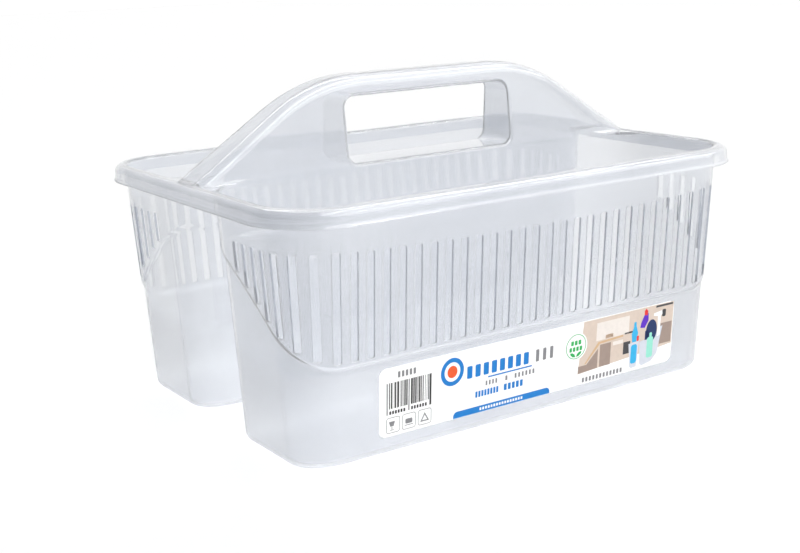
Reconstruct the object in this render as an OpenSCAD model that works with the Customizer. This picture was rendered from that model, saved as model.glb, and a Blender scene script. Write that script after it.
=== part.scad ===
// Two-bin cleaning caddy moulded in clear polypropylene, with a tall hollow
// grip along the middle and a printed label on the lower front wall.
// X runs along the length, -Y is the labelled front, Z is up.
// The origin is the middle of the base, on the surface it stands on.

/* [Overall] */
// length over the rim
body_l = 300; // [240:1:360]
// width over the rim
body_w = 230; // [180:1:280]
// height of the grip above the base
body_h = 180; // [150:1:220]
// height of the rim crown above the base
rim_z = 132; // [100:1:150]
// wall thickness
wall = 1.6; // [1.4:0.1:2.2]

/* [Bins] */
// half length of each bin at the base
end_x0 = 136.5; // [120:0.5:142]
// outward draft of the end walls per mm of height
end_draft = 0.046; // [0:0.001:0.1]
// distance of the outer walls from the middle at the base
out_y0 = 95.2; // [80:0.5:105]
// outward draft of the outer walls per mm of height
out_draft = 0.079; // [0:0.001:0.15]
// distance of the inner walls from the middle at the base
gap_y0 = 20.4; // [14:0.1:28]
// draft of the inner walls towards the middle per mm of height
gap_draft = 0.046; // [0:0.001:0.1]
// height of the rounded floor tray
tray_z = 6; // [4:0.5:12]
// X position where the corners begin
corner_x = 114; // [100:1:125]
// Y position where the outer corners begin
corner_y = 77; // [60:1:90]
// Y position where the inner corners begin
inner_y = 36; // [28:1:50]
// amount by which the slotted upper panel stands proud
step = 1.2; // [0.6:0.1:2]
// height of the step on the long outer walls
step_z = 50; // [40:1:70]
// height of the step on the inner walls
inner_step_z = 104; // [90:1:120]

/* [Slots] */
// distance between slots
slot_pitch = 9.1; // [6:0.1:14]
// slot width
slot_w = 4.2; // [2:0.1:7]
// slots on each side of the middle slot of a long wall
slot_half = 12; // [6:1:12]
// height of the slot tops
slot_top = 107.5; // [90:0.5:115]
// solid band between the step and the slots
slot_gap = 3; // [1:0.5:8]

/* [Rim] */
// height of the skirt edge
lip_z = 122.8; // [115:0.2:126]
// height where the walls meet the rim
rim_join = 122; // [110:1:126]

/* [Grip] */
// half length of the hand opening
grip_x = 54.5; // [40:0.5:65]
// lower edge of the hand opening
grip_z0 = 133; // [132.5:0.5:145]
// upper edge of the hand opening
grip_z1 = 168.5; // [155:0.5:170]
// corner radius of the hand opening
grip_r = 6; // [3:0.5:12]
// depth of the moulded cap along the top of the spine
cap_h = 9; // [7.5:0.5:12]
// draft of the spine walls per mm of height
spine_draft = 0.09; // [0:0.01:0.15]

/* [Label] */
// left edge of the label
label_x0 = -95; // [-110:1:0]
// right edge of the label
label_x1 = 104; // [0:1:110]
// lower edge of the label
label_z0 = 10; // [8:0.5:30]
// upper edge of the label
label_z1 = 46.5; // [30:0.5:48]
// corner radius of the label
label_r = 4; // [1:0.5:8]
// thickness of the label film
label_t = 0.3; // [0.1:0.05:0.5]

/* [Hidden] */
half_l = body_l / 2;
half_w = body_w / 2;
shelf_z = rim_z - wall;
seg = 8;
eps = 0.01;
plastic = [0.86, 0.88, 0.91, 0.55];

// outer surfaces of the plain walls at height z
function end_x(z) = end_x0 + end_draft * z;
function out_y(z) = out_y0 + out_draft * z;
function gap_y(z) = gap_y0 - gap_draft * z;
// bin side of the spine walls
function spine_y(z) = gap_y(shelf_z) - step + wall - spine_draft * (z - shelf_z);

// height of the lower edge of the slotted panel: low on the long walls, it climbs
// in a shallow curve across the ends to the inner walls
edge_y0 = 24;
function edge_z(y) =
    let (d = max(0, y - edge_y0)) max(step_z, inner_step_z - 0.564 * d - 0.00208 * d * d);
edge = concat([[5, inner_step_z]],
              [for (y = [edge_y0:6:96]) [y, edge_z(y)]],
              [[out_y(step_z) + 0.7, step_z], [out_y0 + 20, step_z]]);
overlap = 1.2;

// top line of the grip, from the middle to the foot
crest = [[0, 0], [22, 0], [42, 0], [52, 0.4], [60, 1.5], [68, 3.3], [76, 5.9], [84, 9.4],
         [94, 14.9], [105, 22], [115, 28.6], [125, 35.1], [133, 40.4], [139, 44.3],
         [142.5, 46.4]];
n_crest = len(crest);
crest_all = concat([for (i = [n_crest - 1:-1:1]) [-crest[i][0], body_h - crest[i][1]]],
                   [for (p = crest) [p[0], body_h - p[1]]]);

// The part to draw

// ---------- helpers ----------

// section drawn in (y, z), swept along X
module along_x(x0, x1) {
    translate([x0, 0, 0]) rotate([90, 0, 90]) linear_extrude(x1 - x0) children();
}

// section drawn in (x, z), swept along Y
module along_y(y0, y1) {
    translate([0, y1, 0]) rotate([90, 0, 0]) linear_extrude(y1 - y0) children();
}

// places a piece drawn at +X and +Y in any quarter
module quarter(ex, sy) {
    mirror([ex < 0 ? 1 : 0, 0, 0]) mirror([0, sy < 0 ? 1 : 0, 0]) children();
}

module round_rect(x0, y0, x1, y1, r) {
    translate([x0 + r, y0]) square([x1 - x0 - 2 * r, y1 - y0]);
    translate([x0, y0 + r]) square([x1 - x0, y1 - y0 - 2 * r]);
    for (x = [x0 + r, x1 - r], y = [y0 + r, y1 - r]) translate([x, y]) circle(r, $fn = 48);
}

// ---------- bins ----------

// region over or under the panel edge, seen along X
module over_edge() {
    along_x(100, 160) polygon(concat(edge, [[out_y0 + 20, 140], [5, 140]]));
}
module under_edge() {
    along_x(100, 160) polygon(concat([for (p = edge) [p[0], p[1] + overlap]],
                                     [[out_y0 + 20, -1], [5, -1]]));
}

module outer_wall() {
    z2 = step_z + 1;
    difference() {
        along_x(-corner_x, corner_x) polygon([
            [out_y(tray_z), tray_z], [out_y(step_z), step_z], [out_y(z2) + step, z2],
            [out_y(rim_join) + step, rim_join], [out_y(rim_join) + step - wall, rim_join],
            [out_y(z2) + step - wall, z2], [out_y(step_z) - wall, step_z],
            [out_y(tray_z) - wall, tray_z]]);
        for (i = [-slot_half:slot_half])
            translate([i * slot_pitch - slot_w / 2, out_y0, step_z + slot_gap])
                cube([slot_w, 20, slot_top - step_z - slot_gap]);
    }
}

module inner_wall() {
    z2 = inner_step_z + 1;
    along_x(-corner_x, corner_x) polygon([
        [gap_y(tray_z), tray_z], [gap_y(inner_step_z), inner_step_z],
        [gap_y(z2) - step, z2], [gap_y(shelf_z) - step, shelf_z],
        [gap_y(shelf_z) - step + wall, shelf_z], [gap_y(z2) - step + wall, z2],
        [gap_y(inner_step_z) + wall, inner_step_z], [gap_y(tray_z) + wall, tray_z]]);
}

module end_plate(o) {
    along_y(inner_y, corner_y) polygon([
        [end_x(tray_z) + o, tray_z], [end_x(rim_join) + o, rim_join],
        [end_x(rim_join) + o - wall, rim_join], [end_x(tray_z) + o - wall, tray_z]]);
}

module end_wall() {
    difference() {
        union() {
            intersection() { end_plate(0); under_edge(); }
            intersection() { end_plate(step); over_edge(); }
        }
        for (i = [0:3]) {
            y = corner_y - 2 - i * slot_pitch;
            z = edge_z(y) + slot_gap + 1;
            translate([end_x0 - 5, y - slot_w / 2, z]) cube([20, slot_w, slot_top - z]);
        }
    }
}

// thin quarter slice of an outer corner, o mm outside the plain wall
module outer_slice(z, o, b) {
    rx = end_x(z) + o - corner_x;
    ry = out_y(z) + o - corner_y;
    translate([corner_x, corner_y, z]) linear_extrude(eps)
        polygon(concat([[-b, -b], [rx, -b]],
                       [for (i = [0:seg]) [rx * cos(90 * i / seg), ry * sin(90 * i / seg)]],
                       [[-b, ry]]));
}

module outer_shell(o) {
    difference() {
        hull() { outer_slice(tray_z, o, 0); outer_slice(rim_join - eps, o, 0); }
        hull() { outer_slice(tray_z - 1, o - wall, 1); outer_slice(rim_join + 1, o - wall, 1); }
    }
}

module outer_corner() {
    difference() {
        union() {
            intersection() { outer_shell(0); under_edge(); }
            intersection() { outer_shell(step); over_edge(); }
        }
        for (a = [80:-21.5:15]) {
            z = edge_z(corner_y + (out_y(step_z) - corner_y) * sin(a)) + slot_gap;
            translate([corner_x, corner_y, z]) rotate([0, 0, a])
                translate([12, -slot_w / 2, 0]) cube([30, slot_w, slot_top - z]);
        }
    }
}

module inner_slice(z, o, b) {
    rx = end_x(z) + o - corner_x;
    ry = inner_y - gap_y(z) + o;
    translate([corner_x, inner_y, z]) linear_extrude(eps)
        polygon(concat([[-b, b], [rx, b]],
                       [for (i = [0:seg]) [rx * cos(90 * i / seg), -ry * sin(90 * i / seg)]],
                       [[-b, -ry]]));
}

module inner_shell(o) {
    difference() {
        hull() { inner_slice(tray_z, o, 0); inner_slice(shelf_z - eps, o, 0); }
        hull() { inner_slice(tray_z - 1, o - wall, 1); inner_slice(shelf_z + 1, o - wall, 1); }
    }
}

module inner_corner() {
    intersection() { inner_shell(0); under_edge(); }
    intersection() { inner_shell(step); over_edge(); }
}

// outline of one bin at height z, pulled in by ins
function arc(cx, cy, rx, ry, a0) =
    [for (i = [0:seg]) [cx + rx * cos(a0 + 90 * i / seg), cy + ry * sin(a0 + 90 * i / seg)]];
function outline(z, ins) = concat(
    arc(corner_x, corner_y, end_x(z) - ins - corner_x, out_y(z) - ins - corner_y, 0),
    arc(-corner_x, corner_y, end_x(z) - ins - corner_x, out_y(z) - ins - corner_y, 90),
    arc(-corner_x, inner_y, end_x(z) - ins - corner_x, inner_y - gap_y(z) - ins, 180),
    arc(corner_x, inner_y, end_x(z) - ins - corner_x, inner_y - gap_y(z) - ins, 270));
module slab(z, ins) {
    translate([0, 0, z]) linear_extrude(eps) polygon(outline(z, ins));
}

module floor_tray() {
    difference() {
        hull() { slab(0, 5); slab(1.2, 2.2); slab(3, 0.6); slab(tray_z - eps, 0); }
        hull() {
            slab(wall, wall + 5); slab(wall + 1.2, wall + 2);
            slab(4.6, wall + 0.5); slab(tray_z + 1, wall);
        }
    }
}

// ---------- rim ----------

// rim section as [distance in from the outside, height]; w is where the wall stands
function rim_section(w) = [
    [0, lip_z], [0.8, lip_z + 1.4], [1, 128.6], [1.8, 130.8], [3.6, rim_z],
    [w + wall - 1.4, rim_z], [w + wall - 0.4, rim_z - 0.7], [w + wall, rim_z - 2],
    [w + wall, rim_join], [w, rim_join],
    [w - 0.3, 129.2], [w - 1.3, shelf_z], [2 + wall, shelf_z], [1 + wall, 129.4],
    [0.8 + wall, lip_z + 1.4], [wall, lip_z]];
rim_w_long = half_w - out_y(rim_join) - step;
rim_w_end = half_l - end_x(rim_join) - step;

module rim_long() {
    along_x(-corner_x, corner_x)
        polygon([for (p = rim_section(rim_w_long)) [half_w - p[0], p[1]]]);
}

module rim_end() {
    for (s = [[inner_y, corner_y], [-corner_y, -inner_y]])
        along_y(s[0], s[1])
            polygon([for (p = rim_section(rim_w_end)) [half_l - p[0], p[1]]]);
    x1 = half_l - rim_w_end - wall;
    along_y(-inner_y, inner_y) polygon([
        [half_l, lip_z], [half_l - 0.8, lip_z + 1.4], [half_l - 1, 128.6],
        [half_l - 1.8, 130.8], [half_l - 3.6, rim_z], [x1, rim_z], [x1, shelf_z],
        [half_l - 2 - wall, shelf_z], [half_l - 1 - wall, 129.4],
        [half_l - 0.8 - wall, lip_z + 1.4], [half_l - wall, lip_z]]);
}

module rim_corner() {
    se = rim_section(rim_w_end);
    sl = rim_section(rim_w_long);
    n = len(se);
    m = 10;
    pts = [for (j = [0:m], i = [0:n - 1])
        [corner_x + (half_l - corner_x - se[i][0]) * cos(90 * j / m),
         corner_y + (half_w - corner_y - sl[i][0]) * sin(90 * j / m), se[i][1]]];
    e = m * n;
    polyhedron(pts, concat(
        [for (k = [0:n / 2 - 2]) [k, k + 1, n - 2 - k, n - 1 - k]],
        [for (k = [0:n / 2 - 2]) [e + n - 1 - k, e + n - 2 - k, e + k + 1, e + k]],
        [for (j = [0:m - 1], i = [0:n - 1])
            [j * n + i, (j + 1) * n + i, (j + 1) * n + (i + 1) % n, j * n + (i + 1) % n]]),
        convexity = 4);
}

// flat shelf between an inner corner, the rim and the spine
module shelf() {
    x1 = half_l - rim_w_end - wall;
    y0 = gap_y(shelf_z) - step;
    difference() {
        translate([corner_x, y0, shelf_z]) cube([x1 - corner_x, inner_y - y0, wall]);
        hull() {
            inner_slice(shelf_z - 1, step - wall, 1);
            inner_slice(rim_z + 1, step - wall, 1);
        }
    }
}

// ---------- spine and grip ----------

// slanted slab between two offsets from the bin side of the spine wall
module spine_slab(t0, t1, x) {
    z1 = body_h + 1;
    along_x(-x, x) polygon([
        [spine_y(shelf_z) - t0, shelf_z], [spine_y(z1) - t0, z1],
        [spine_y(z1) - t1, z1], [spine_y(shelf_z) - t1, shelf_z]]);
}

module spine_wall() {
    top = [for (p = crest_all) if (p[1] - cap_h > rim_z) [p[0], p[1] - cap_h]];
    foot = 131;
    difference() {
        intersection() {
            spine_slab(0, wall, 150);
            along_y(0, 30) polygon(concat(
                [[-corner_x, shelf_z], [-corner_x, rim_z], [-foot, rim_z]], top,
                [[foot, rim_z], [corner_x, rim_z], [corner_x, shelf_z]]));
        }
        along_y(-1, 31) round_rect(-grip_x, grip_z0, grip_x, grip_z1, grip_r);
    }
}

// half of the cap section at a crest point, from the lower edge to the middle
function cap_half(z, t) =
    let (zl = max(z - cap_h, rim_z), h = z - zl, r = min(7, h - 0.5), v = min(t, h - 0.8),
         w1 = spine_y(zl) - spine_draft * (h - r), q = max(r - t, 0.3),
         zc = max(z - v - q, zl + 0.2))
    concat([[spine_y(zl) - t, zl], [w1 - t, zc]],
           [for (a = [22.5:22.5:90])
               [w1 - t - q + q * cos(a), zc + (z - v - zc) * sin(a)]]);
function cap_ring(z) =
    let (o = cap_half(z, 0), i = cap_half(z, wall), n = len(o))
    concat(o, [for (k = [n - 1:-1:0]) [-o[k][0], o[k][1]]],
           [for (k = [0:n - 1]) [-i[k][0], i[k][1]]], [for (k = [n - 1:-1:0]) i[k]]);

module spine_cap_body() {
    n = len(cap_ring(body_h));
    m = len(crest_all);
    pts = [for (p = crest_all) for (c = cap_ring(p[1])) [p[0], c[0], c[1]]];
    e = (m - 1) * n;
    polyhedron(pts, concat(
        [for (k = [0:n / 2 - 2]) [n - 1 - k, n - 2 - k, k + 1, k]],
        [for (k = [0:n / 2 - 2]) [e + k, e + k + 1, e + n - 2 - k, e + n - 1 - k]],
        [for (j = [0:m - 2], i = [0:n - 1])
            [j * n + i, j * n + (i + 1) % n, (j + 1) * n + (i + 1) % n, (j + 1) * n + i]]),
        convexity = 6);
}

module sleeve(x0, z0, x1, z1) {
    intersection() {
        difference() {
            along_y(-20, 20) round_rect(-grip_x - wall, grip_z0 - wall,
                                        grip_x + wall, grip_z1 + wall, grip_r + wall);
            along_y(-21, 21) round_rect(-grip_x, grip_z0, grip_x, grip_z1, grip_r);
        }
        along_x(-80, 80) polygon([
            [spine_y(shelf_z) - wall, shelf_z], [spine_y(175) - wall, 175],
            [wall - spine_y(175), 175], [wall - spine_y(shelf_z), shelf_z]]);
        along_y(-25, 25) polygon([[x0, z0], [x1, z0], [x1, z1], [x0, z1]]);
    }
}

// ---------- label ----------

module label_film() {
    intersection() {
        along_x(-body_l, body_l) polygon([
            [out_y(0), 0], [out_y(step_z), step_z],
            [out_y(step_z) + label_t, step_z], [out_y(0) + label_t, 0]]);
        along_y(80, 120) round_rect(label_x0, label_z0, label_x1, label_z1, label_r);
    }
}

// ---------- named pieces ----------

module front_floor() { color(plastic) quarter(1, -1) floor_tray(); }
module front_outer_wall() { color(plastic) quarter(1, -1) outer_wall(); }
module front_inner_wall() { color(plastic) quarter(1, -1) inner_wall(); }
module front_left_end() { color(plastic) quarter(-1, -1) end_wall(); }
module front_right_end() { color(plastic) quarter(1, -1) end_wall(); }
module front_left_outer_corner() { color(plastic) quarter(-1, -1) outer_corner(); }
module front_right_outer_corner() { color(plastic) quarter(1, -1) outer_corner(); }
module front_left_inner_corner() { color(plastic) quarter(-1, -1) inner_corner(); }
module front_right_inner_corner() { color(plastic) quarter(1, -1) inner_corner(); }
module rear_floor() { color(plastic) floor_tray(); }
module rear_outer_wall() { color(plastic) outer_wall(); }
module rear_inner_wall() { color(plastic) inner_wall(); }
module rear_left_end() { color(plastic) quarter(-1, 1) end_wall(); }
module rear_right_end() { color(plastic) end_wall(); }
module rear_left_outer_corner() { color(plastic) quarter(-1, 1) outer_corner(); }
module rear_right_outer_corner() { color(plastic) outer_corner(); }
module rear_left_inner_corner() { color(plastic) quarter(-1, 1) inner_corner(); }
module rear_right_inner_corner() { color(plastic) inner_corner(); }
module rim_front() { color(plastic) quarter(1, -1) rim_long(); }
module rim_rear() { color(plastic) rim_long(); }
module rim_left() { color(plastic) quarter(-1, 1) rim_end(); }
module rim_right() { color(plastic) rim_end(); }
module rim_front_left() { color(plastic) quarter(-1, -1) rim_corner(); }
module rim_front_right() { color(plastic) quarter(1, -1) rim_corner(); }
module rim_rear_left() { color(plastic) quarter(-1, 1) rim_corner(); }
module rim_rear_right() { color(plastic) rim_corner(); }
module shelf_front_left() { color(plastic) quarter(-1, -1) shelf(); }
module shelf_front_right() { color(plastic) quarter(1, -1) shelf(); }
module shelf_rear_left() { color(plastic) quarter(-1, 1) shelf(); }
module shelf_rear_right() { color(plastic) shelf(); }
module spine_front_wall() { color(plastic) quarter(1, -1) spine_wall(); }
module spine_rear_wall() { color(plastic) spine_wall(); }
module spine_cap() { color(plastic) spine_cap_body(); }
sleeve_x = grip_x - grip_r;
module grip_sleeve_top() {
    color(plastic) sleeve(-sleeve_x, grip_z1 - 1, sleeve_x, grip_z1 + 5);
}
module grip_sleeve_bottom() {
    color(plastic) sleeve(-sleeve_x, grip_z0 - 5, sleeve_x, grip_z0 + 1);
}
module grip_sleeve_left() {
    color(plastic) sleeve(-grip_x - 5, grip_z0 - 5, -sleeve_x, grip_z1 + 5);
}
module grip_sleeve_right() {
    color(plastic) sleeve(sleeve_x, grip_z0 - 5, grip_x + 5, grip_z1 + 5);
}
module label() { color([0.97, 0.97, 0.97]) quarter(1, -1) label_film(); }

front_floor();
front_outer_wall();
front_inner_wall();
front_left_end();
front_right_end();
front_left_outer_corner();
front_right_outer_corner();
front_left_inner_corner();
front_right_inner_corner();
rear_floor();
rear_outer_wall();
rear_inner_wall();
rear_left_end();
rear_right_end();
rear_left_outer_corner();
rear_right_outer_corner();
rear_left_inner_corner();
rear_right_inner_corner();
rim_front();
rim_rear();
rim_left();
rim_right();
rim_front_left();
rim_front_right();
rim_rear_left();
rim_rear_right();
shelf_front_left();
shelf_front_right();
shelf_rear_left();
shelf_rear_right();
spine_front_wall();
spine_rear_wall();
spine_cap();
grip_sleeve_top();
grip_sleeve_bottom();
grip_sleeve_left();
grip_sleeve_right();
label();
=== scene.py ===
"""Looks of the two-bin cleaning caddy: one clear moulding and its printed label.

Shapes are worked out in millimetres from the frame's boxes and turned into metres
as each mesh is made. +X runs along the grip, -Y is the labelled side, +Z is up.
"""
import math
import random

import bmesh
import bpy
from mathutils import Matrix, Vector


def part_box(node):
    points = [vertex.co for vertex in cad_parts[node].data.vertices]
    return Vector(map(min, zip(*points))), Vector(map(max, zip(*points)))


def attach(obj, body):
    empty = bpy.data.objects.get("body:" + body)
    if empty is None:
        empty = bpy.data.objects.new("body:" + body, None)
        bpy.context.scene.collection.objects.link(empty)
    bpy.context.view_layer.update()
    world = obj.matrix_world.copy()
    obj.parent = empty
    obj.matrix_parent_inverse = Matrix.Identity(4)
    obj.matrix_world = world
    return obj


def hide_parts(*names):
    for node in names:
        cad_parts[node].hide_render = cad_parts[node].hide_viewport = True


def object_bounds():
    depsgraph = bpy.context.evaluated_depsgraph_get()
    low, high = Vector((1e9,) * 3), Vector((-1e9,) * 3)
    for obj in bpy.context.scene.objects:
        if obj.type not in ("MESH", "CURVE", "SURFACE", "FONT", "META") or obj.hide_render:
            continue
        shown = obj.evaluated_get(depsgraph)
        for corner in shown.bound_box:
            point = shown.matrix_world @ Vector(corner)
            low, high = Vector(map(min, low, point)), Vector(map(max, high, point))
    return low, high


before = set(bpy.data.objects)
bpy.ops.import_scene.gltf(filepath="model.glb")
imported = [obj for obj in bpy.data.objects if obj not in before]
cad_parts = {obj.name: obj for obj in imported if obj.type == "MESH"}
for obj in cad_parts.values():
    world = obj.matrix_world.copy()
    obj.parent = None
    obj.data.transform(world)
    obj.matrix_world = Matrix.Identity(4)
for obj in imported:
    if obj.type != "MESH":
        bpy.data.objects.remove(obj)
CAD_LO, CAD_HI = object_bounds()
MM = 0.001


def box_mm(node):
    """Lowest and highest corner of a CAD node, in millimetres."""
    lo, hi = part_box(node)
    return lo / MM, hi / MM


def ramp(z0, v0, z1, v1):
    """A value that goes straight from v0 at z0 to v1 at z1."""
    return lambda z: v0 + (v1 - v0) * (z - z0) / (z1 - z0)


def lerp(a, b, t):
    return a + (b - a) * t


# ---------- sizes of the moulding ----------

WALL = 1.6  # wall thickness
STEP = 1.2  # how far the slotted panel stands proud
STEP_Z = 50.0  # foot of the slotted panel on the long walls
INNER_STEP_Z = 104.0  # and on the inner walls
SLOT_PITCH = 9.1
SLOT_W = 4.2
SLOT_EDGE = 0.3  # rounding of the slot edges
SLOTS_EACH_SIDE = 12  # of the middle slot of a long wall
CORNER_SLOT_ANGLES = (80.0, 58.5, 37.0, 15.5)
END_SLOTS = 4
SLOT_FOOT_LONG, SLOT_FOOT_CORNER, SLOT_FOOT_END = 4.0, 4.2, 4.6  # solid band below the slots
SLOT_TOP_MIDDLE = 105.5  # top of the middle slot
SLOT_TOP_RISE = 3.5  # how much higher the tops are by the corners
SLOT_TOP_SIDE = 109.5  # tops on the corners and ends
SKIRT_DEPTH = 9.2  # from the rim's crown to the skirt's edge
SHELF_DROP = 0.6  # from the rim's crown to the flat shelf
EDGE_Y = 24.0  # where the panel's lower edge starts to fall, from the middle outwards
EDGE_SLOPE, EDGE_BEND = 0.564, 0.00208
BASE_R = 5.0  # rounding where walls meet the floor
MOUTH_R_LONG = 2.4  # rounding of the mouth along the long walls
MOUTH_R_END = 1.5
SPINE_DRAFT = 0.09
CREST_R = 7.0  # rounding along the top of the grip
SLEEVE_X, SLEEVE_Z0, SLEEVE_Z1, SLEEVE_R = 54.5, 133.0, 168.5, 6.0  # hand opening
OPENING_EDGE = 2.0  # rounding of the hand opening's edges
CORNER_STEPS = 14  # facets in a quarter turn

HALF_L, HALF_W, TOP = CAD_HI / MM
rim_hi = box_mm("rim_rear")[1]
end_lo, end_hi = box_mm("rear_right_end")
out_lo, out_hi = box_mm("rear_outer_wall")
in_lo, in_hi = box_mm("rear_inner_wall")
RIM_Z = rim_hi.z
LIP_Z = RIM_Z - SKIRT_DEPTH
SHELF_Z = RIM_Z - SHELF_DROP
CORNER_X = rim_hi.x
CORNER_Y = end_hi.y
INNER_Y = end_lo.y
end_x = ramp(end_lo.z, end_lo.x + WALL, end_hi.z, end_hi.x - STEP)
out_y = ramp(out_lo.z, out_lo.y + WALL, out_hi.z, out_hi.y - STEP)
gap_y = ramp(in_lo.z, in_hi.y - WALL, in_hi.z, in_lo.y + STEP)


def spine_y(z):
    """Half thickness of the spine, on the bin side."""
    return gap_y(in_hi.z) - STEP + WALL - SPINE_DRAFT * (z - in_hi.z)


def panel_edge(y):
    """Height of the slotted panel's lower edge, which climbs across the ends."""
    d = max(0.0, y - EDGE_Y)
    return max(STEP_Z, INNER_STEP_Z - EDGE_SLOPE * d - EDGE_BEND * d * d)


# ---------- mesh helpers ----------


def mesh_object(name, verts, faces):
    """A closed mesh from points in millimetres, with its faces turned outwards."""
    mesh = bpy.data.meshes.new(name)
    mesh.from_pydata([Vector(v) * MM for v in verts], [], faces)
    bm = bmesh.new()
    bm.from_mesh(mesh)
    bmesh.ops.remove_doubles(bm, verts=bm.verts, dist=1e-8)
    bmesh.ops.recalc_face_normals(bm, faces=bm.faces)
    bm.to_mesh(mesh)
    bm.free()
    obj = bpy.data.objects.new(name, mesh)
    bpy.context.scene.collection.objects.link(obj)
    return obj


def loft_data(rings, start=0):
    """Vertices and faces of a closed solid through rings of equal length."""
    n = len(rings[0])
    verts = [p for ring in rings for p in ring]
    faces = [tuple(start + i for i in reversed(range(n)))]
    last = start + (len(rings) - 1) * n
    faces.append(tuple(last + i for i in range(n)))
    for r in range(len(rings) - 1):
        a, b = start + r * n, start + (r + 1) * n
        for i in range(n):
            j = (i + 1) % n
            faces.append((a + i, a + j, b + j, b + i))
    return verts, faces


def loft(name, rings):
    return mesh_object(name, *loft_data(rings))


def loft_many(name, solids):
    """Several separate lofted solids in one mesh."""
    verts, faces = [], []
    for rings in solids:
        v, f = loft_data(rings, len(verts))
        verts += v
        faces += f
    return mesh_object(name, verts, faces)


def combine(obj, other, operation):
    """Applies a boolean to obj and deletes the other solid."""
    mod = obj.modifiers.new("cut", "BOOLEAN")
    mod.operation = operation
    mod.solver = "MANIFOLD"
    mod.object = other
    graph = bpy.context.evaluated_depsgraph_get()
    mesh = bpy.data.meshes.new_from_object(obj.evaluated_get(graph))
    obj.modifiers.clear()
    old = obj.data
    obj.data = mesh
    bpy.data.meshes.remove(old)
    bpy.data.objects.remove(other)
    return obj


def dissolve_straight(bm, limit=0.1):
    """Removes corners that stand on a nearly straight edge between just two faces."""
    spare = [v for v in bm.verts if len(v.link_edges) == 2 and v.calc_edge_angle(1.0) < limit]
    bmesh.ops.dissolve_verts(bm, verts=spare)


def finish_shading(obj, angle=32.0):
    """Smooth shading that keeps edges sharper than angle, weighted by face area."""
    mesh = obj.data
    bm = bmesh.new()
    bm.from_mesh(mesh)
    bmesh.ops.remove_doubles(bm, verts=bm.verts, dist=2e-7)
    bmesh.ops.dissolve_degenerate(bm, edges=bm.edges, dist=2e-7)
    dissolve_straight(bm)
    for face in bm.faces:
        face.smooth = True
    for edge in bm.edges:
        edge.smooth = not edge.is_manifold or edge.calc_face_angle() < math.radians(angle)
    bm.to_mesh(mesh)
    bm.free()
    mod = obj.modifiers.new("weighted", "WEIGHTED_NORMAL")
    mod.mode = "FACE_AREA_WITH_ANGLE"
    mod.keep_sharp = True
    graph = bpy.context.evaluated_depsgraph_get()
    obj.data = bpy.data.meshes.new_from_object(obj.evaluated_get(graph))
    obj.modifiers.clear()
    return obj


def add(name, obj, material):
    """Names a finished piece, rides it on the body and gives it its finish."""
    obj.name = obj.data.name = name
    obj.data.materials.clear()
    obj.data.materials.append(material)
    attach(obj, "root")
    return obj


# ---------- plan of a bin ----------
# A station is one place on the way round the rear bin. The front bin is its mirror.


def bin_stations():
    """Stations round the bin, anticlockwise from above, one per slot cell."""
    quarter = [90.0 * i / CORNER_STEPS for i in range(CORNER_STEPS + 1)]
    half = [(i + 0.5) * SLOT_PITCH for i in range(SLOTS_EACH_SIDE)]
    xs = sorted([CORNER_X, -CORNER_X] + half + [-x for x in half], reverse=True)
    steps = 10
    ys = [lerp(CORNER_Y, INNER_Y, i / steps) for i in range(1, steps)]
    out = [("long", 1, x) for x in xs]
    out += [("outer", -1, t) for t in reversed(quarter[:-1])]
    out += [("end", -1, y) for y in ys]
    out += [("inner", -1, t) for t in quarter]
    out += [("spine", 1, x) for x in (-CORNER_X / 2, 0.0, CORNER_X / 2)]
    out += [("inner", 1, t) for t in reversed(quarter)]
    out += [("end", 1, y) for y in reversed(ys)]
    out += [("outer", 1, t) for t in quarter[:-1]]
    return out


def plan(station, z, off, inner_face=None):
    """Point on the bin's wall at height z, off outside the plain outer surface."""
    kind, side, v = station
    face = inner_face or (lambda h: gap_y(h) - off)
    if kind == "long":
        return v, out_y(z) + off
    if kind == "spine":
        return v, face(z)
    if kind == "end":
        return side * (end_x(z) + off), v
    c, s = math.cos(math.radians(v)), math.sin(math.radians(v))
    rx = end_x(z) + off - CORNER_X
    if kind == "outer":
        return side * (CORNER_X + rx * c), CORNER_Y + (out_y(z) + off - CORNER_Y) * s
    return side * (CORNER_X + rx * c), INNER_Y - (INNER_Y - face(z)) * s


def edge_at(station):
    """Height of the panel's lower edge at a station."""
    kind = station[0]
    if kind == "long":
        return STEP_Z
    if kind == "spine":
        return INNER_STEP_Z
    z = INNER_STEP_Z
    for _ in range(3):
        z = panel_edge(plan(station, z, 0.0)[1])
    return z


def ring(stations, z_of, off_of, inner_face=None):
    points = []
    for st in stations:
        z = z_of(st)
        points.append((*plan(st, z, off_of(st), inner_face), z))
    return points


STEP_CURVE = [(-1.8, 0.0), (-1.1, 0.07), (-0.4, 0.28), (0.3, 0.6), (1.0, 0.86), (1.8, 1.0)]


def bin_solid(name):
    """The outside of the rear bin as a solid block."""
    st = bin_stations()
    rings = []
    for i in range(7):
        a = math.radians(15 * i)
        z, off = BASE_R * (1 - math.cos(a)), BASE_R * (math.sin(a) - 1)
        rings.append(ring(st, lambda s, z=z: z, lambda s, off=off: off))
    for dz, part in STEP_CURVE:
        rings.append(ring(st, lambda s, dz=dz: edge_at(s) + dz, lambda s, p=part: STEP * p))
    rings.append(ring(st, lambda s: SHELF_Z - 0.2, lambda s: STEP))
    return loft(name, rings)


def mouth_radius(station):
    """Rounding of the bin's mouth: full outside, none along the spine."""
    kind, _, v = station
    if kind == "long":
        return MOUTH_R_LONG
    if kind == "spine":
        return 0.0
    if kind == "end":
        return MOUTH_R_END
    if kind == "outer":
        return lerp(MOUTH_R_END, MOUTH_R_LONG, math.sin(math.radians(v)))
    return MOUTH_R_END * math.cos(math.radians(v))


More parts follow.
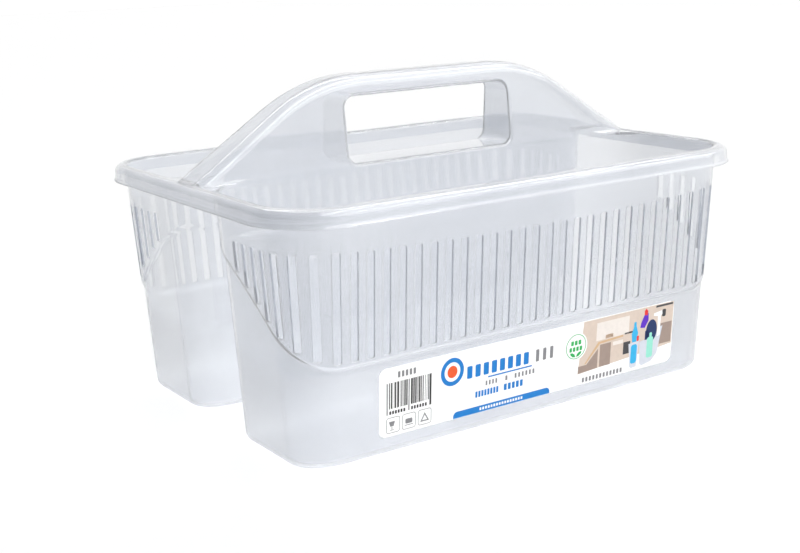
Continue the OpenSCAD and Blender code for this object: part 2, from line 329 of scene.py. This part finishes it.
def cavity_solid(name):
    """The space inside the rear bin, open upwards."""
    st = bin_stations()
    inner_r = BASE_R - WALL + 0.6
    rings = []
    for i in range(7):
        a = math.radians(15 * i)
        z = WALL + inner_r * (1 - math.cos(a))
        off = -WALL + inner_r * (math.sin(a) - 1)
        rings.append(ring(st, lambda s, z=z: z, lambda s, off=off: off))
    for dz, part in STEP_CURVE:
        rings.append(ring(st, lambda s, dz=dz: edge_at(s) + dz + 0.9,
                          lambda s, p=part: STEP * p - WALL))
    join = in_hi.z
    rings.append(ring(st, lambda s: 124.0, lambda s: STEP - WALL))

    def face(z):
        low = gap_y(min(z, join)) + WALL - STEP
        return low if z < join else spine_y(z) - 0.01

    depth = 2.0
    for i in range(6):
        a = math.radians(18 * i)
        z = RIM_Z - depth + depth * math.sin(a)
        rings.append(ring(st, lambda s, z=z: z,
                          lambda s, a=a: STEP - WALL + mouth_radius(s) * (1 - math.cos(a)), face))
    rings.append(ring(st, lambda s: RIM_Z + 2.0, lambda s: STEP - WALL + mouth_radius(s), face))
    return loft(name, rings)


# ---------- rim and shelf ----------


def rim_loop(u, z):
    """Rounded rectangle u inside the outer edge, anticlockwise from above."""
    points = []
    steps = 18
    for cx, cy, a0 in ((1, 1, 0), (-1, 1, 90), (-1, -1, 180), (1, -1, 270)):
        for i in range(steps + 1):
            a = math.radians(a0 + 90 * i / steps)
            points.append((cx * CORNER_X + (HALF_L - CORNER_X - u) * math.cos(a),
                           cy * CORNER_Y + (HALF_W - CORNER_Y - u) * math.sin(a), z))
    return points


def rim_solid(name):
    """Flat shelf with a rolled edge and a skirt that ends in a small lip."""
    roll_u, roll_z, roll_r = 5.6, 127.4, RIM_Z - 127.4
    prof = [(12.0, SHELF_Z), (9.6, SHELF_Z), (8.9, SHELF_Z + 0.1), (8.2, SHELF_Z + 0.32),
            (7.4, RIM_Z - 0.07), (6.6, RIM_Z)]
    turns = [90 * i / 9 for i in range(10)]
    prof += [(roll_u - (roll_u - 0.9) * math.sin(math.radians(a)),
              roll_z + roll_r * math.cos(math.radians(a))) for a in turns]
    prof += [(0.78, 125.8), (0.7, 124.9), (0.5, 124.2), (0.16, 123.6), (0.0, LIP_Z + 0.4),
             (0.12, LIP_Z + 0.12), (0.45, LIP_Z), (1.0, LIP_Z), (1.35, LIP_Z + 0.15),
             (1.7, 123.8), (2.1, 124.6), (2.3, 125.6)]
    r_in = roll_r - WALL
    prof += [(roll_u - (roll_u - 0.9 - WALL) * math.sin(math.radians(a)),
              roll_z + r_in * math.cos(math.radians(a))) for a in reversed(turns)]
    prof += [(8.4, RIM_Z - WALL), (9.6, SHELF_Z - WALL), (12.0, SHELF_Z - WALL)]
    return loft(name, [rim_loop(u, z) for u, z in prof])


# ---------- spine and hand opening ----------

FLAT_X = 44.0  # half length of the level stretch of the crest
BEND_R = 92.0  # radius of its shoulders
SLOPE = math.radians(33.3)
FOOT_R = 14.0  # hollow rounding where the slope meets the rim
FOOT_FLARE = 2.0  # and along the foot of its sides
BEND_X = FLAT_X + BEND_R * math.sin(SLOPE)
BEND_Z = TOP - BEND_R * (1 - math.cos(SLOPE))
SLOPE_END = BEND_X + (BEND_Z - SHELF_Z) / math.tan(SLOPE)
FOOT_X = SLOPE_END + FOOT_R * math.tan(SLOPE / 2)  # where the crest has become level


def crest(x):
    """Height of the grip's top at x."""
    x = abs(x)
    if x < FLAT_X:
        return TOP
    if x < BEND_X:
        return TOP - BEND_R + math.sqrt(BEND_R ** 2 - (x - FLAT_X) ** 2)
    if x > FOOT_X - FOOT_R * math.sin(SLOPE):
        return SHELF_Z + FOOT_R - math.sqrt(FOOT_R ** 2 - (FOOT_X - x) ** 2)
    return BEND_Z - (x - BEND_X) * math.tan(SLOPE)


def arc_points(cy, cz, r, a0, a1, steps):
    """Points on an arc in the section plane, angles in degrees."""
    turns = [math.radians(lerp(a0, a1, i / steps)) for i in range(steps + 1)]
    return [(cy + r * math.cos(a), cz + r * math.sin(a)) for a in turns]


def spine_section(x, inset, foot_z, flare):
    """Cross-section of the spine at x, pulled in by inset.

    Its top edges are rounded, and a hollow rounding of radius flare joins it to the shelf.
    """
    top = crest(x) - inset
    r = CREST_R - inset * 0.9
    side = spine_y(SHELF_Z) - inset
    cz = top - r
    cy = side - SPINE_DRAFT * max(0.0, cz - SHELF_Z) - r
    if flare > 0:
        drop = SHELF_Z + flare - cz
        if drop <= 0:
            foot_y, start = side + flare, 0.0
        else:
            foot_y = cy + math.sqrt(max(0.0, (r + flare) ** 2 - drop ** 2))
            start = math.degrees(math.asin(min(1.0, drop / (r + flare))))
        half = [(foot_y, foot_z)]
        half += arc_points(foot_y, SHELF_Z + flare, flare, 270, 180 + start, 5)
    else:
        start = 0.0
        half = [(side, foot_z)]
    half += arc_points(cy, cz, r, start, 90, 9)
    half = [(y, max(z, foot_z)) for y, z in half]
    return [(x, y, z) for y, z in half] + [(x, -y, z) for y, z in reversed(half)]


def crest_stations(last):
    xs = [0, 22, FLAT_X]
    xs += [FLAT_X + 4 * i for i in range(1, 11)]
    xs += [88.5, BEND_X, 101, 108, 114, 118, 122, 126, 130, 134, 138, 141, 142, 142.7,
           143.4, 144.1, 144.7, 145.3]
    xs = [v for v in xs if v < last] + [last]
    return [-v for v in reversed(xs[1:])] + xs


def spine_solid(name):
    return loft(name, [spine_section(x, 0.0, SHELF_Z - 0.8, FOOT_FLARE)
                       for x in crest_stations(145.2)])


def spine_hollow(name):
    return loft(name, [spine_section(x, WALL, SHELF_Z - 4.0, 0.0)
                       for x in crest_stations(141.4)])


def rounded_outline(x0, z0, x1, z1, r, steps=6):
    """Points of a rounded rectangle with the direction that each faces."""
    points = []
    for cx, cz, a0 in ((x1 - r, z1 - r, 0), (x0 + r, z1 - r, 90),
                       (x0 + r, z0 + r, 180), (x1 - r, z0 + r, 270)):
        for i in range(steps + 1):
            a = math.radians(a0 + 90 * i / steps)
            points.append((cx + r * math.cos(a), cz + r * math.sin(a), math.cos(a), math.sin(a)))
    return points


def sleeve_solid(name):
    """Tube round the hand opening, from face to face of the spine."""
    out = rounded_outline(-SLEEVE_X - WALL, SLEEVE_Z0 - WALL, SLEEVE_X + WALL, SLEEVE_Z1 + WALL,
                          SLEEVE_R + WALL, 8)
    rings = []
    for side in (-1, 1):
        rings.append([(x, side * (spine_y(z) - 0.5), z) for x, z, _, _ in out])
    return loft(name, rings)


def opening_cutter(name):
    """The hand opening with rounded edges at both faces."""
    out = rounded_outline(-SLEEVE_X, SLEEVE_Z0, SLEEVE_X, SLEEVE_Z1, SLEEVE_R, 8)
    side = [(OPENING_EDGE, 3.0)]
    for b in (90, 72, 54, 36, 18, 0):
        b = math.radians(b)
        side.append((OPENING_EDGE * (1 - math.cos(b)), -OPENING_EDGE * (1 - math.sin(b))))
    rings = [[(x + nx * e, -(spine_y(z) + d), z + nz * e) for x, z, nx, nz in out]
             for e, d in side]
    rings += [[(x + nx * e, spine_y(z) + d, z + nz * e) for x, z, nx, nz in out]
              for e, d in reversed(side)]
    return loft(name, rings)


# ---------- slots ----------


def slot_places():
    """(station, bottom, top) of every slot of a bin."""
    places = []
    for i in range(-SLOTS_EACH_SIDE, SLOTS_EACH_SIDE + 1):
        x = i * SLOT_PITCH
        places.append((("long", 1, x), STEP_Z + SLOT_FOOT_LONG,
                       SLOT_TOP_MIDDLE + SLOT_TOP_RISE * (x / CORNER_X) ** 2))
    for side in (-1, 1):
        for t in CORNER_SLOT_ANGLES:
            st = ("outer", side, t)
            places.append((st, edge_at(st) + SLOT_FOOT_CORNER, SLOT_TOP_SIDE))
        for i in range(END_SLOTS):
            st = ("end", side, CORNER_Y - 2.0 - i * SLOT_PITCH)
            places.append((st, edge_at(st) + SLOT_FOOT_END, SLOT_TOP_SIDE))
    return places


def slot_cutter(station, z0, z1):
    """Rings of a through slot whose edges are rounded inside and out."""
    kind, side, v = station
    if kind == "long":
        n = Vector((0, 1, 0))
    elif kind == "end":
        n = Vector((side, 0, 0))
    else:
        n = Vector((side * math.cos(math.radians(v)), math.sin(math.radians(v)), 0))
    tangent = Vector((-n.y, n.x, 0))
    out = rounded_outline(-SLOT_W / 2, z0, SLOT_W / 2, z1, 1.0, 3)
    e = SLOT_EDGE
    section = [(e, 2.0), (e, 0.0), (e * 0.3, -e * 0.3), (0.0, -e),
               (0.0, -WALL + e), (e * 0.3, -WALL + e * 0.3), (e, -WALL), (e, -WALL - 2.0)]
    rings = []
    for grow, depth in section:
        points = []
        for s, z, ns, nz in out:
            z = z + nz * grow
            p = Vector((*plan(station, z, STEP), z))
            points.append(tuple(p + n * depth + tangent * (s + ns * grow)))
        rings.append(points)
    return rings


def mirror_rings(rings):
    return [[(x, -y, z) for x, y, z in r] for r in rings]


def mirrored(obj):
    """A copy of a solid for the front bin."""
    mesh = obj.data.copy()
    mesh.transform(Matrix.Diagonal((1, -1, 1, 1)))
    mesh.flip_normals()
    copy = bpy.data.objects.new(obj.name + "_front", mesh)
    bpy.context.scene.collection.objects.link(copy)
    return copy


def wall_normal(p):
    """Which way the slotted wall faces at a point, or None away from it."""
    x, y = abs(p.x), abs(p.y)
    if x <= CORNER_X:
        return Vector((0, 1, 0)) if y > CORNER_Y else None
    if y > CORNER_Y:
        return Vector((x - CORNER_X, y - CORNER_Y, 0)).normalized()
    return Vector((1, 0, 0)) if y > INNER_Y else None


def paint_slot_side_shade(obj, material):
    """Gives the cut sides of the slots a darker copy of the plastic: painted shade for the dark
    lines seen along them.
    """
    obj.data.materials.append(material)
    for face in obj.data.polygons:
        p = face.center / MM
        if not STEP_Z + 2 < p.z < 112 or abs(face.normal.z) > 0.6:
            continue
        out = wall_normal(p)
        n = Vector((math.copysign(1, p.x) * face.normal.x,
                    math.copysign(1, p.y) * face.normal.y, 0))
        if out and abs(n.dot(out)) < 0.35:
            face.material_index = 1


def make_moulding():
    body = rim_solid("moulding")
    block = bin_solid("bin")
    combine(body, mirrored(block), "UNION")
    combine(body, block, "UNION")
    combine(body, spine_solid("spine"), "UNION")
    space = cavity_solid("space")
    combine(body, mirrored(space), "DIFFERENCE")
    combine(body, space, "DIFFERENCE")
    combine(body, spine_hollow("hollow"), "DIFFERENCE")
    combine(body, sleeve_solid("sleeve"), "UNION")
    combine(body, opening_cutter("opening"), "DIFFERENCE")
    cutters = [slot_cutter(*place) for place in slot_places()]
    cutters += [mirror_rings(r) for r in cutters]
    combine(body, loft_many("slots", cutters), "DIFFERENCE")
    return finish_shading(body)


# ---------- label ----------
# Flat shapes are outlines of (x, z) on the front wall, raised by a hair from it.


def on_wall(x, z, d):
    """A point d in front of the lower front wall."""
    return x, -(out_y(z) + d), z


def rect(x0, z0, x1, z1):
    return [(x0, z0), (x1, z0), (x1, z1), (x0, z1)]


def soft_rect(x0, z0, x1, z1, r):
    return [(x, z) for x, z, _, _ in rounded_outline(x0, z0, x1, z1, r, 5)]


def ellipse(cx, cz, rx, rz, a0=0, a1=360, steps=36):
    last = steps if a1 - a0 < 360 else steps - 1
    turns = [math.radians(lerp(a0, a1, i / steps)) for i in range(last + 1)]
    return [(cx + rx * math.cos(a), cz + rz * math.sin(a)) for a in turns]


def frame_of(outer, inner):
    """An outline with a hole: a pair of loops with equal counts."""
    return (outer, inner)


def print_mesh(name, shapes, d0, d1):
    """Thin closed slabs, one for each outline."""
    verts, faces = [], []
    for shape in shapes:
        start = len(verts)
        if isinstance(shape, tuple):
            outer, inner = shape
            n = len(outer)
            for loop, d in ((outer, d0), (outer, d1), (inner, d1), (inner, d0)):
                verts += [on_wall(x, z, d) for x, z in loop]
            for k in range(4):
                a, b = start + k * n, start + (k + 1) % 4 * n
                faces += [(a + i, a + (i + 1) % n, b + (i + 1) % n, b + i) for i in range(n)]
        else:
            v, f = loft_data([[on_wall(x, z, d) for x, z in shape] for d in (d0, d1)], start)
            verts += v
            faces += f
    return mesh_object(name, verts, faces)


def blocks(x0, x1, z0, z1, count, fill=0.66):
    """A row of plain blocks where small print stood."""
    pitch = (x1 - x0) / count
    return [soft_rect(x0 + i * pitch, z0, x0 + (i + fill) * pitch, z1,
                      min(fill * pitch, z1 - z0) * 0.22) for i in range(count)]


def bar_pattern(x0, x1, z0, z1, guard_z):
    """A row of bars of uneven width, with longer ones at both ends and the middle."""
    rng = random.Random(11)
    unit = (x1 - x0) / 95.0
    shapes, at = [], 0
    while at < 94:
        width = rng.choice((1, 1, 2, 2, 3, 4))
        gap = rng.choice((1, 1, 2, 2, 3))
        width = min(width, 95 - at)
        low = guard_z if at < 3 or at > 90 or 45 <= at <= 49 else z0
        shapes.append(rect(x0 + at * unit, low, x0 + (at + width) * unit, z1))
        at += width + gap
    return shapes


def pictograms():
    """Three thin frames with plain signs: a cup, a tray and a triangle."""
    shapes, line = [], 0.32
    for x0 in (-90.8, -81.4, -71.8):
        x1, z0, z1 = x0 + 8.2, 11.6, 20.0
        shapes.append(frame_of(soft_rect(x0, z0, x1, z1, 1.4),
                               soft_rect(x0 + line, z0 + line, x1 - line, z1 - line,
                                         1.4 - line)))
    shapes += [[(-89.2, 17.8), (-88.4, 15.2), (-86.4, 15.2), (-85.6, 17.8)],
               rect(-87.6, 13.4, -87.2, 15.0), rect(-88.6, 13.0, -86.2, 13.3)]
    shapes += [rect(-79.8, 13.6, -74.8, 14.0), soft_rect(-79.4, 14.6, -75.2, 17.2, 0.6)]
    shapes.append(frame_of([(-70.4, 13.4), (-65.0, 13.4), (-67.7, 18.2)],
                           [(-69.3, 14.05), (-66.1, 14.05), (-67.7, 16.9)]))
    return shapes


BADGE_X, BADGE_Z, BADGE_R = 31.5, 33.0, 8.0


def badge_green():
    """Ring, two rows of blocks and a pair of leaves."""
    cx, cz = BADGE_X, BADGE_Z
    shapes = [frame_of(ellipse(cx, cz, 7.1, 7.1), ellipse(cx, cz, 6.7, 6.7))]
    shapes += blocks(cx - 3.6, cx + 4.2, cz + 0.9, cz + 3.5, 3, 0.72)
    shapes += blocks(cx - 4.6, cx + 5.0, cz - 2.6, cz - 0.1, 4, 0.72)
    for side in (-1, 1):
        shapes.append([(cx + side * 0.2, cz - 6.0), (cx + side * 2.2, cz - 5.7),
                       (cx + side * 3.7, cz - 4.4), (cx + side * 4.1, cz - 3.2),
                       (cx + side * 2.3, cz - 3.3), (cx + side * 0.8, cz - 4.4)])
    return shapes


def make_label():
    """The printed film: one piece for each ink, stacked a few hundredths apart."""
    lo, hi = box_mm("label")
    x0, z0, x1, z1 = lo.x, lo.z, hi.x, hi.z
    px, pz = 33.5, 16.4  # left and lower edge of the picture
    layers = [
        ("label_film", 0.02, 0.12, (0.95, 0.95, 0.95), [soft_rect(x0, z0, x1, z1, 3.9)]),
        ("print_black", 0.11, 0.14, (0.03, 0.03, 0.03),
         bar_pattern(-90.6, -63.8, 24.6, 38.4, 21.6) + blocks(-89.0, -79.0, 21.6, 23.4, 6)
         + blocks(-76.0, -66.0, 21.6, 23.4, 6)),
        ("print_grey", 0.11, 0.14, (0.22, 0.22, 0.23),
         pictograms() + blocks(-84.0, -72.4, 40.4, 43.6, 5, 0.6)
         + blocks(-29.5, -21.0, 24.1, 26.7, 4, 0.5) + blocks(-16.6, -14.6, 24.1, 26.7, 1)
         + blocks(-10.4, 4.0, 24.1, 26.7, 6, 0.5)
         + blocks(3.6, 18.0, 30.2, 37.0, 3, 0.45)
         + blocks(37.0, 67.4, 10.9, 13.6, 12, 0.58)),
        ("print_blue", 0.11, 0.14, (0.005, 0.19, 0.56),
         [frame_of(ellipse(-50.9, 36.2, 7.2, 7.6), ellipse(-50.9, 36.2, 4.9, 5.2))]
         + blocks(-41.6, 0.6, 30.2, 37.0, 8, 0.64)
         + [rect(-28.0, 28.2, 1.0, 29.0)]
         + blocks(-36.0, -20.5, 18.6, 22.0, 8, 0.7) + blocks(-17.4, -4.0, 18.6, 22.2, 5, 0.7)
         + [[(-50.0, z0), (14.0, z0)] + ellipse(11.4, 11.0, 2.6, 2.6, 0, 90, 5)
            + ellipse(-47.4, 11.0, 2.6, 2.6, 90, 180, 5)]),
        ("print_orange", 0.11, 0.14, (0.80, 0.10, 0.02), [ellipse(-50.9, 36.2, 3.1, 3.3)]),
        ("print_white", 0.135, 0.15, (0.93, 0.93, 0.93), blocks(-33.0, -4.0, 11.0, 12.5, 16, 0.6)),
        ("picture_wall", 0.11, 0.13, (0.66, 0.55, 0.47),
         [[(px, pz), (86.0, pz + 3.2), (x1 - 0.4, pz + 4.6), (x1 - 0.4, z1 - 0.4),
           (px + 3.0, z1 - 0.4)]]),
        ("picture_light", 0.125, 0.14, (0.80, 0.74, 0.69),
         [rect(46.0, 33.2, 70.0, 43.6), rect(58.5, 28.2, 66.0, 30.4)]),
        ("picture_tops", 0.125, 0.14, (0.62, 0.42, 0.25),
         [[(38.0, 21.4), (39.2, 21.4), (48.8, 31.2), (66.0, 32.0), (66.0, 33.2), (47.6, 32.4)],
          rect(52.8, 33.4, 58.4, 35.6)]),
        ("picture_doors", 0.125, 0.14, (0.34, 0.26, 0.22),
         [[(px + 0.2, pz + 0.2), (47.6, pz + 1.0), (47.6, 28.6), (39.6, 20.8), (px + 0.2, 20.8)],
          rect(49.0, 17.6, 57.0, 30.6), rect(94.0, 22.0, x1 - 1.0, 34.4)]),
        ("picture_dark", 0.125, 0.14, (0.05, 0.05, 0.055),
         [rect(66.4, 21.2, 71.6, 28.4), rect(67.0, 33.0, 73.6, 34.0),
          soft_rect(95.0, 38.2, 97.8, 42.6, 0.9), rect(90.0, 44.4, x1 - 1.0, 45.6)]),
        ("picture_bins", 0.135, 0.15, (0.62, 0.65, 0.72),
         [[(70.4, 26.6), (72.0, 12.6), (73.4, 11.6), (77.0, 12.0), (78.4, 27.4)],
          [(78.6, 26.4), (79.6, 13.0), (81.4, 11.6), (88.4, 13.0), (92.6, 17.0), (95.8, 33.0),
           (93.8, 32.4), (90.0, 27.6)]]),
        ("picture_cyan", 0.145, 0.165, (0.03, 0.42, 0.75),
         [soft_rect(72.4, 14.2, 77.0, 25.6, 1.6),
          [(73.0, 27.0), (76.0, 27.0), (77.2, 32.0), (75.8, 36.0), (75.4, 38.8), (73.8, 38.8),
           (73.8, 36.0), (72.4, 32.0)]]),
        ("picture_navy", 0.145, 0.165, (0.01, 0.03, 0.12),
         [ellipse(87.4, 31.4, 4.2, 6.6), rect(82.6, 26.6, 85.4, 32.0)]),
        ("picture_violet", 0.15, 0.17, (0.10, 0.02, 0.50),
         [[(78.6, 34.6), (82.0, 34.0), (84.6, 38.0), (84.4, 42.4), (81.8, 42.6), (79.2, 37.6)]]),
        ("picture_red", 0.155, 0.175, (0.72, 0.03, 0.03),
         [[(81.4, 41.6), (83.6, 41.2), (84.0, 43.6), (82.6, 45.2), (81.2, 44.2)],
          rect(76.4, 27.2, 78.0, 30.2)]),
        ("picture_mint", 0.155, 0.175, (0.30, 0.74, 0.60),
         [soft_rect(84.4, 15.4, 89.2, 27.8, 1.4), soft_rect(86.0, 27.6, 88.0, 30.4, 0.8)]),
        ("picture_spray", 0.155, 0.175, (0.90, 0.90, 0.90),
         [[(92.0, 27.0), (94.2, 27.6), (94.0, 38.6), (95.2, 40.2), (94.8, 42.2), (88.6, 41.4),
           (88.6, 39.8), (91.8, 39.2)]]),
        ("badge_white", 0.14, 0.16, (0.93, 0.93, 0.93), [ellipse(BADGE_X, BADGE_Z, BADGE_R,
                                                                 BADGE_R)]),
        ("badge_green", 0.155, 0.18, (0.03, 0.42, 0.10), badge_green()),
    ]
    pieces = []
    for name, d0, d1, colour, shapes in layers:
        obj = print_mesh(name, shapes, d0, d1)
        obj.visible_shadow = False
        pieces.append(add(name, obj, ink(name, colour)))
    return pieces


# ---------- materials ----------


def new_material(name):
    mat = bpy.data.materials.new(name)
    mat.use_nodes = True
    nodes, links = mat.node_tree.nodes, mat.node_tree.links
    return mat, nodes, links, nodes["Principled BSDF"]


MILK_DARK, MILK_LIGHT = (0.797, 0.811, 0.838), (0.829, 0.842, 0.865)
# Painted shade: a darker tint of the plastic for the cut sides of the slots, standing in for the
# dark lines seen along them.
SLOT_SHADE_DARK, SLOT_SHADE_LIGHT = (0.42, 0.45, 0.51), (0.50, 0.53, 0.59)
FROSTED, GLOSSY = 0.26, 0.07  # roughness below and above the slotted panel's foot


def map_range(nodes, links, source, from_lo, from_hi, to_lo, to_hi):
    """A smooth node ramp from one span of values to another."""
    node = nodes.new("ShaderNodeMapRange")
    node.interpolation_type = "SMOOTHSTEP"
    node.inputs["From Min"].default_value = from_lo
    node.inputs["From Max"].default_value = from_hi
    node.inputs["To Min"].default_value = to_lo
    node.inputs["To Max"].default_value = to_hi
    links.new(source, node.inputs["Value"])
    return node.outputs["Result"]


def clear_plastic(name, dark, light):
    """Clear polypropylene: a little milky, faintly wavy, and frosted on the lower walls. Given
    darker tones it becomes the painted shade on the slot sides.
    """
    mat, nodes, links, bsdf = new_material(name)
    bsdf.inputs["Transmission Weight"].default_value = 0.83
    bsdf.inputs["IOR"].default_value = 1.49
    coords = nodes.new("ShaderNodeTexCoord")
    split = nodes.new("ShaderNodeSeparateXYZ")
    links.new(coords.outputs["Object"], split.inputs[0])
    frost = map_range(nodes, links, split.outputs["Z"], 0.044, 0.056, FROSTED, GLOSSY)
    links.new(frost, bsdf.inputs["Roughness"])

    cloud = nodes.new("ShaderNodeTexNoise")
    cloud.inputs["Scale"].default_value = 16.0
    cloud.inputs["Detail"].default_value = 3.0
    links.new(coords.outputs["Object"], cloud.inputs["Vector"])
    tint = nodes.new("ShaderNodeMix")
    tint.data_type = "RGBA"
    tint.inputs["A"].default_value = (*dark, 1)
    tint.inputs["B"].default_value = (*light, 1)
    links.new(map_range(nodes, links, cloud.outputs["Fac"], 0.3, 0.7, 0.0, 1.0),
              tint.inputs["Factor"])
    links.new(tint.outputs["Result"], bsdf.inputs["Base Color"])

    wave = nodes.new("ShaderNodeTexNoise")
    wave.inputs["Scale"].default_value = 30.0
    wave.inputs["Detail"].default_value = 1.0
    links.new(coords.outputs["Object"], wave.inputs["Vector"])
    bump = nodes.new("ShaderNodeBump")
    bump.inputs["Strength"].default_value = 0.05
    bump.inputs["Distance"].default_value = 0.002
    links.new(wave.outputs["Fac"], bump.inputs["Height"])
    links.new(bump.outputs["Normal"], bsdf.inputs["Normal"])
    return mat


def ink(name, colour):
    """Satin printed film, with the faint mottle of the press."""
    mat, nodes, links, bsdf = new_material(name)
    bsdf.inputs["Roughness"].default_value = 0.34
    bsdf.inputs["Specular IOR Level"].default_value = 0.3
    coords = nodes.new("ShaderNodeTexCoord")
    mottle = nodes.new("ShaderNodeTexNoise")
    mottle.inputs["Scale"].default_value = 420.0
    mottle.inputs["Detail"].default_value = 2.0
    links.new(coords.outputs["Object"], mottle.inputs["Vector"])
    tint = nodes.new("ShaderNodeMix")
    tint.data_type = "RGBA"
    tint.inputs["A"].default_value = (*(0.93 * c for c in colour), 1)
    tint.inputs["B"].default_value = (*(min(1.0, 1.07 * c) for c in colour), 1)
    links.new(mottle.outputs["Fac"], tint.inputs["Factor"])
    links.new(tint.outputs["Result"], bsdf.inputs["Base Color"])
    bump = nodes.new("ShaderNodeBump")
    bump.inputs["Strength"].default_value = 0.03
    bump.inputs["Distance"].default_value = 0.0002
    links.new(mottle.outputs["Fac"], bump.inputs["Height"])
    links.new(bump.outputs["Normal"], bsdf.inputs["Normal"])
    return mat


# ---------- stage ----------

FLOOR_TONE = 0.84
FLOOR_HALF = 6000  # half width of the floor, in millimetres
FLOOR_GAP = 0.0002  # how far it lies below the base, in metres
SUN = 1.9
STRIP_RADIANCE = 8.0
DIM_SIDE = 0.1  # brightness of the surroundings behind the camera


def put(name, data, place, aim):
    """Places a lamp and points it."""
    obj = bpy.data.objects.new(name, data)
    obj.location = place
    obj.rotation_euler = (Vector(aim) - Vector(place)).to_track_quat("-Z", "Y").to_euler()
    bpy.context.scene.collection.objects.link(obj)
    return obj


def strip_light(name, place, aim, length, width):
    """A strip seen only in reflections, for the thin highlights along the edges."""
    data = bpy.data.lights.new(name, "AREA")
    data.shape = "RECTANGLE"
    data.size, data.size_y = length, width
    data.energy = STRIP_RADIANCE * math.pi * length * width
    obj = put(name, data, place, aim)
    obj.visible_diffuse = False
    obj.visible_transmission = False
    return obj


def make_world():
    """White surroundings that grow dimmer behind the camera and to the left."""
    world = bpy.data.worlds.new("studio")
    bpy.context.scene.world = world
    world.use_nodes = True
    nodes, links = world.node_tree.nodes, world.node_tree.links
    coords = nodes.new("ShaderNodeTexCoord")
    aim = nodes.new("ShaderNodeVectorMath")
    aim.operation = "DOT_PRODUCT"
    aim.inputs[1].default_value = Vector((0.9, 0.25, 0.35)).normalized()
    links.new(coords.outputs["Generated"], aim.inputs[0])
    shade = nodes.new("ShaderNodeMapRange")
    shade.interpolation_type = "SMOOTHSTEP"
    shade.inputs["From Min"].default_value = -0.7
    shade.inputs["From Max"].default_value = 0.45
    shade.inputs["To Min"].default_value = DIM_SIDE
    shade.inputs["To Max"].default_value = 1.02
    links.new(aim.outputs["Value"], shade.inputs["Value"])
    links.new(shade.outputs["Result"], nodes["Background"].inputs["Color"])
    nodes["Background"].inputs["Strength"].default_value = 1.0


def make_stage():
    far = FLOOR_HALF
    floor = mesh_object("floor", [(-far, -far, 0), (far, -far, 0), (far, far, 0),
                                  (-far, far, 0)], [(0, 1, 2, 3)])
    floor.location.z = -FLOOR_GAP
    mat, _, _, bsdf = new_material("floor")
    bsdf.inputs["Base Color"].default_value = (FLOOR_TONE, FLOOR_TONE, FLOOR_TONE, 1)
    bsdf.inputs["Roughness"].default_value = 0.9
    floor.data.materials.append(mat)
    sun = bpy.data.lights.new("sun", "SUN")
    sun.energy = SUN
    sun.angle = math.radians(70)
    put("sun", sun, (0.35, -0.7, 0.75), (0, 0, 0))
    strip_light("strip_front", (0.3, -0.5, 1.15), (0.0, -0.06, 0.14), 1.9, 0.11)
    strip_light("strip_rear", (0.3, 0.25, 1.15), (0.0, -0.06, 0.14), 1.9, 0.11)
    strip_light("strip_low", (0.8, -0.8, 0.85), (0.0, -0.11, 0.12), 1.6, 0.07)
    make_world()
    bpy.context.scene.view_settings.view_transform = "Standard"


def make_camera():
    """Camera at the front left, a little above the rim."""
    place = Vector((-414.2, -612.6, 242.9)) * MM
    yaw, pitch, roll = 0.5916, 0.2617, -0.0340
    data = bpy.data.cameras.new("camera")
    data.sensor_width = 36.0
    data.lens = 58.8465
    data.shift_x = -0.0263125
    data.shift_y = 0.0298125
    data.clip_start = 0.01
    ahead = Vector((math.cos(pitch) * math.sin(yaw), math.cos(pitch) * math.cos(yaw),
                    -math.sin(pitch)))
    right = Vector((math.cos(yaw), -math.sin(yaw), 0))
    up = right.cross(ahead)
    r2 = right * math.cos(roll) + up * math.sin(roll)
    u2 = up * math.cos(roll) - right * math.sin(roll)
    obj = bpy.data.objects.new("camera", data)
    turn = Matrix((r2, u2, -ahead)).transposed().to_4x4()
    obj.matrix_world = Matrix.Translation(place) @ turn
    bpy.context.scene.collection.objects.link(obj)
    bpy.context.scene.camera = obj


make_camera()
make_stage()
moulding = add("moulding", make_moulding(),
               clear_plastic("clear_plastic", MILK_DARK, MILK_LIGHT))
# Painted shade: the sides of the slots get a darker copy of the plastic.
paint_slot_side_shade(moulding, clear_plastic("painted_slot_shade", SLOT_SHADE_DARK, SLOT_SHADE_LIGHT))
moulding.visible_shadow = False
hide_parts(*[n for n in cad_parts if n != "label"])
label_pieces = make_label()
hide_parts("label")
